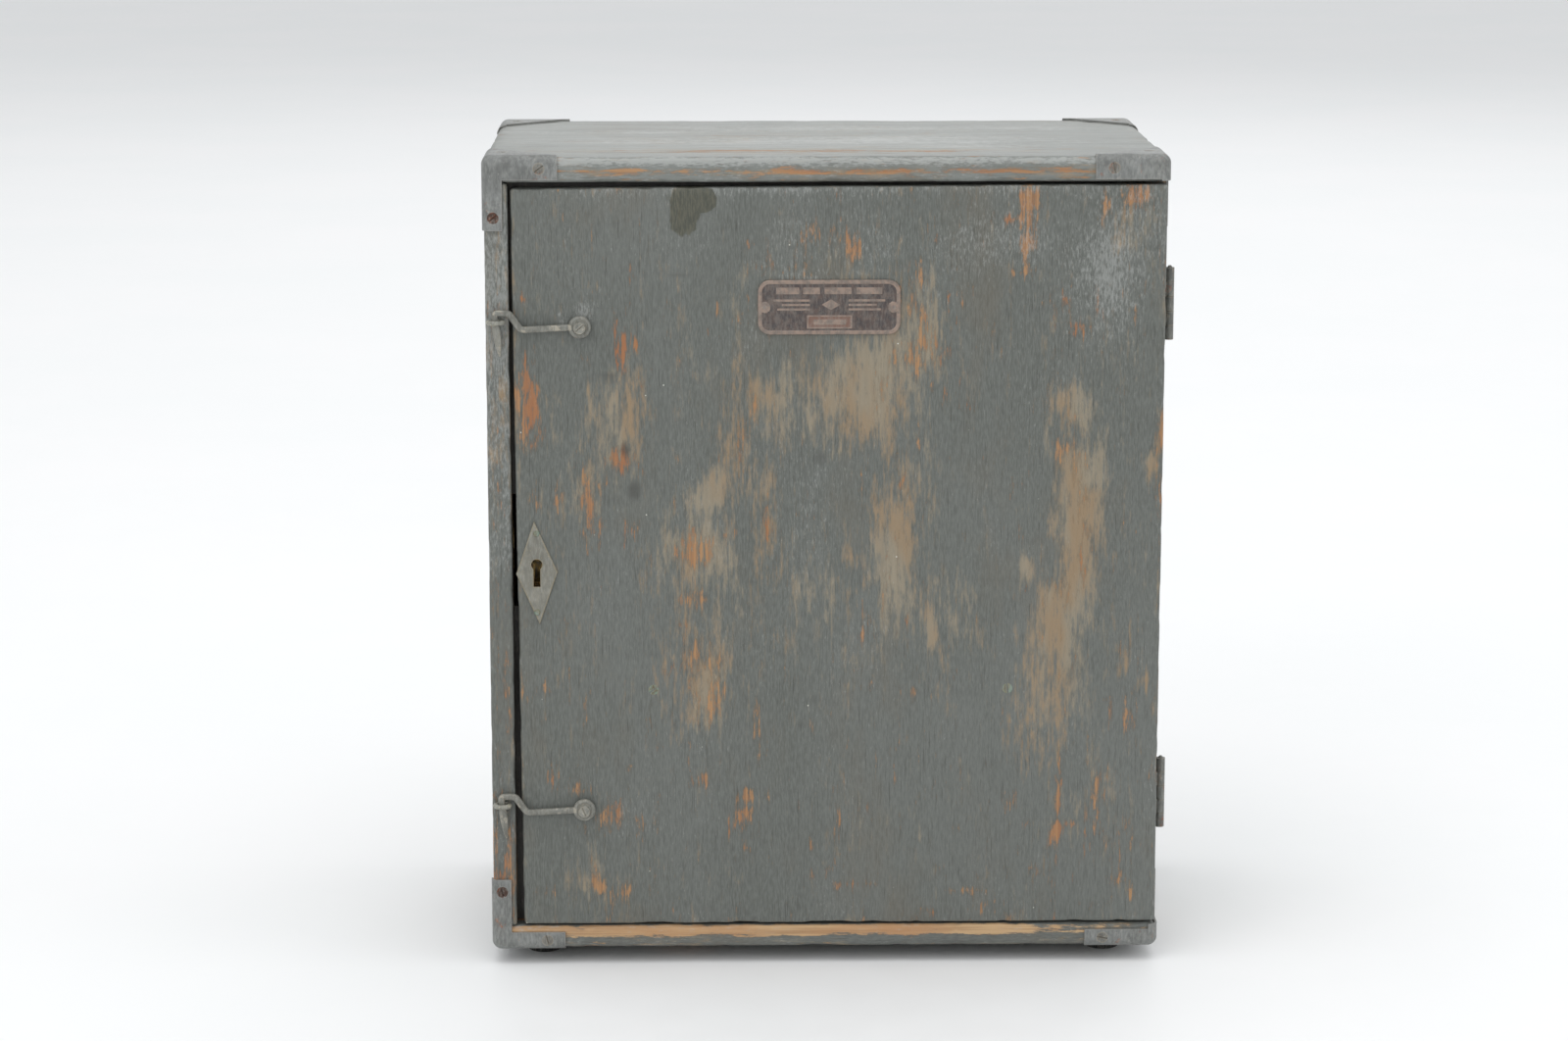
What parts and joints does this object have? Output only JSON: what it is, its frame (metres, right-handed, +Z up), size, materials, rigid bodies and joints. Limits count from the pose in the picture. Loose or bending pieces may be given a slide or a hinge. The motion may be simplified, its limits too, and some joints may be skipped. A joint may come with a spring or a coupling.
{
  "type": "surveying instrument carrying case",
  "caption": "Upright grey-painted wooden carrying case for a surveying instrument, with a side-hung door, hook latches, a keyhole plate, metal corners and rubber feet.",
  "frame": {"origin": "on the standing plane under the feet, in the middle of the outline, hooks and hinges included", "axes": "+Z up, -Y out of the front (the door's face), +X to the right seen from the front (the hinge side)"},
  "size_m": [0.3215, 0.1864, 0.387],
  "materials": {
    "painted_wood": "worn grey-green paint over wood, bare in streaks",
    "bare_wood": "oiled, aged",
    "painted_sheet": "worn grey paint over sheet steel",
    "painted_hardware": "worn grey paint over steel wire and plate",
    "rusty_steel": "rusted",
    "aged_brass": "dull, greenish",
    "plate_bronze": "dark field, worn copper-brown relief",
    "felt": "green felt",
    "black_rubber": "matte"
  },
  "bodies": {
    "case": {"back_panel": "painted_wood", "bottom_board": "painted_wood", "corner_front_lower_left": "painted_sheet", "corner_front_lower_right": "painted_sheet", "corner_front_upper_left": "painted_sheet", "corner_front_upper_right": "painted_sheet", "corner_rear_lower_left": "painted_sheet", "corner_rear_lower_right": "painted_sheet", "corner_rear_upper_left": "painted_sheet", "corner_rear_upper_right": "painted_sheet", "corner_screws": "rusty_steel", "foot_front_left": "black_rubber", "foot_front_right": "black_rubber", "foot_rear_left": "black_rubber", "foot_rear_right": "black_rubber", "foot_screws": "rusty_steel", "hinge_case_screws": "rusty_steel", "left_door_stop": "bare_wood", "left_rail": "bare_wood", "left_side": "painted_wood", "lower_hinge_case_leaf": "painted_hardware", "lower_hinge_pin": "painted_hardware", "lower_screw_eye": "painted_hardware", "rail_screws": "rusty_steel", "right_rail": "bare_wood", "right_side": "painted_wood", "strike_plate": "aged_brass", "strike_screws": "aged_brass", "top_board": "painted_wood", "top_door_stop": "bare_wood", "upper_hinge_case_leaf": "painted_hardware", "upper_hinge_pin": "painted_hardware", "upper_screw_eye": "painted_hardware"},
    "door": {"door_panel": "painted_wood", "door_block": "bare_wood", "door_block_felt": "felt", "door_block_screws": "aged_brass", "upper_hinge_door_leaf": "painted_hardware", "lower_hinge_door_leaf": "painted_hardware", "hinge_door_screws": "rusty_steel", "escutcheon": "painted_hardware", "escutcheon_pins": "aged_brass", "lock_case": "aged_brass", "lock_plate": "aged_brass", "lock_screws": "aged_brass", "key_post": "aged_brass", "name_plate": "plate_bronze", "name_plate_pins": "aged_brass", "upper_hook_screw": "painted_hardware", "lower_hook_screw": "painted_hardware", "upper_hook_washer": "painted_hardware", "lower_hook_washer": "painted_hardware"},
    "upper_hook": {"upper_hook": "painted_hardware"},
    "lower_hook": {"lower_hook": "painted_hardware"},
    "lock_bolt": {"lock_bolt": "aged_brass"},
    "sled": {"sled_board": "bare_wood", "instrument_plinth": "bare_wood", "instrument_boss": "aged_brass", "boss_screws": "aged_brass"}
  },
  "joints": [
    {"name": "door_hinge", "type": "hinge", "parent": "case", "child": "door", "pos_m": [0.1603, -0.0741, 0.198], "axis": [0, 0, 1], "range_deg": [0, 180]},
    {"name": "upper_hook_pivot", "type": "hinge", "parent": "door", "child": "upper_hook", "pos_m": [-0.1143, -0.0885, 0.3076], "axis": [0, 1, 0], "range_deg": [0, 270]},
    {"name": "lower_hook_pivot", "type": "hinge", "parent": "door", "child": "lower_hook", "pos_m": [-0.1143, -0.0885, 0.0769], "axis": [0, 1, 0], "range_deg": [0, 270]},
    {"name": "bolt_throw", "type": "slide", "parent": "door", "child": "lock_bolt", "axis": [-1, 0, 0], "range_m": [0, 0.0065]},
    {"name": "sled_slide", "type": "slide", "parent": "case", "child": "sled", "axis": [0, -1, 0], "range_m": [0, 0.11]}
  ],
  "couplings": [
    {"joint": "sled_slide", "follows": "door_hinge", "m_per_rad": 0.035}
  ]
}
